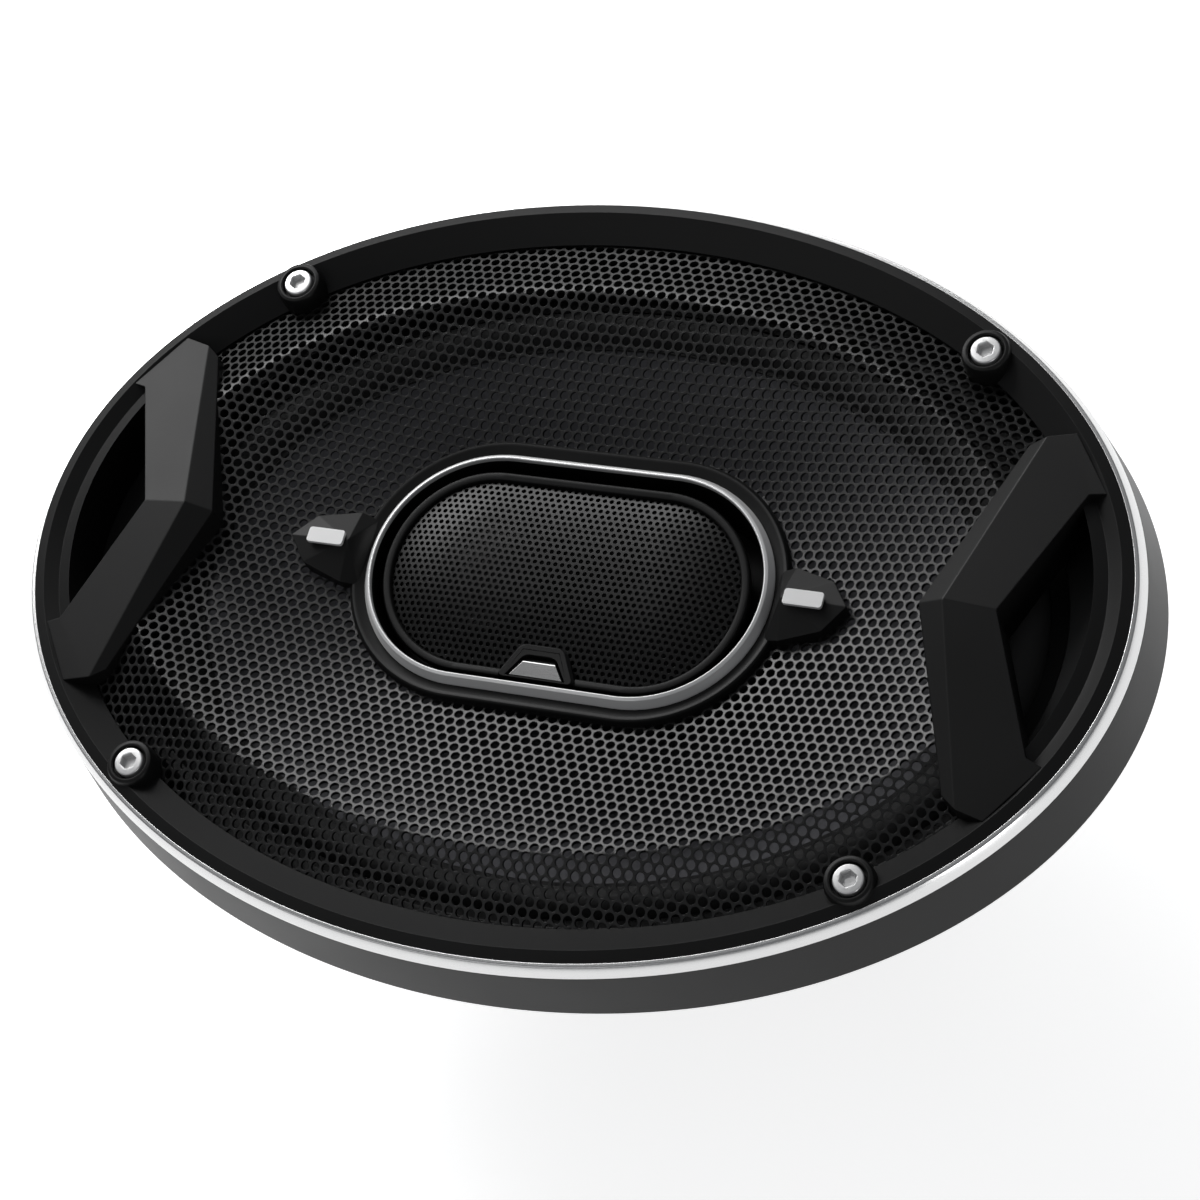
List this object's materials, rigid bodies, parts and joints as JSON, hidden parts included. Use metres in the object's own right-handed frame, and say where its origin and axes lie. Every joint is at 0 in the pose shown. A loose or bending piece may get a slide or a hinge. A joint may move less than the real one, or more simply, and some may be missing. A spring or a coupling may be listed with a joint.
{
  "type": "coaxial car speaker",
  "caption": "Oval coaxial car speaker with a pierced grille, chevron bridges, a swivelling centre pod with a level button, and a round magnet on an open basket.",
  "frame": {"origin": "centre of the panel plane, midway between the four fixing screws", "axes": "+Z out of the front face along the cone's travel, +X along the long axis, +Y along the short axis"},
  "size_m": [0.2534, 0.184, 0.1081],
  "materials": {
    "satin_black": "satin black moulded plastic",
    "bright_trim": "polished bright silver",
    "mesh_steel": "pierced steel, satin black",
    "screw_steel": "bright zinc",
    "basket_steel": "stamped steel, black powder coat",
    "foam": "closed-cell foam",
    "surround_rubber": "butyl rubber",
    "spider_cloth": "resin-dipped woven cloth",
    "motor_steel": "zinc plated",
    "ferrite": "dull ferrite",
    "boot_rubber": "moulded rubber",
    "board": "phenolic board",
    "brass": "plated brass",
    "film": "film sleeve",
    "copper": "braided copper",
    "cone_pulp": "woven-filled cone",
    "former_film": "polyimide film",
    "liner": "acetal",
    "diaphragm_dark": "coated cloth",
    "diaphragm_bright": "metallised film"
  },
  "bodies": {
    "speaker": {"grille_frame": "satin_black", "outer_trim": "bright_trim", "grille_mesh": "mesh_steel", "pod_bezel": "satin_black", "pod_ring": "bright_trim", "badge_plates": "bright_trim", "screws": "screw_steel", "basket_rim": "basket_steel", "basket_legs": "basket_steel", "basket_cup": "basket_steel", "panel_gasket": "foam", "clamp_ring": "satin_black", "surround": "surround_rubber", "spider": "spider_cloth", "top_plate": "motor_steel", "magnet": "ferrite", "yoke": "motor_steel", "magnet_boot": "boot_rubber", "post": "satin_black", "ball_stud": "motor_steel", "terminal_board": "board", "terminal_large": "brass", "terminal_small": "brass", "capacitor": "film", "cone_leads": "copper"},
    "cone_assembly": {"cone": "cone_pulp", "former": "former_film", "winding": "copper", "lead_eyelets": "copper"},
    "swivel": {"swivel_liner": "liner"},
    "pod": {"pod_housing": "satin_black", "pod_rim": "satin_black", "pod_dome": "mesh_steel", "driver_plate": "satin_black", "large_dome": "diaphragm_dark", "small_dome": "diaphragm_bright", "driver_magnets": "motor_steel", "button_bay": "satin_black"},
    "button": {"level_button": "bright_trim"}
  },
  "joints": [
    {"name": "cone_travel", "type": "slide", "parent": "speaker", "child": "cone_assembly", "axis": [0, 0, 1], "range_m": [-0.005, 0.005], "stiffness_N_per_m": 2500, "deforming": ["surround", "spider", "cone_leads"]},
    {"name": "pod_tilt", "type": "hinge", "parent": "speaker", "child": "swivel", "pos_m": [0, 0, -0.0028], "axis": [1, 0, 0], "range_deg": [-13, 3]},
    {"name": "pod_swing", "type": "hinge", "parent": "swivel", "child": "pod", "pos_m": [0, 0, -0.0028], "axis": [0, 1, 0], "range_deg": [-6, 6]},
    {"name": "button_press", "type": "slide", "parent": "pod", "child": "button", "axis": [0, 0.0872, -0.9962], "range_m": [0, 0.0012], "stiffness_N_per_m": 400}
  ]
}
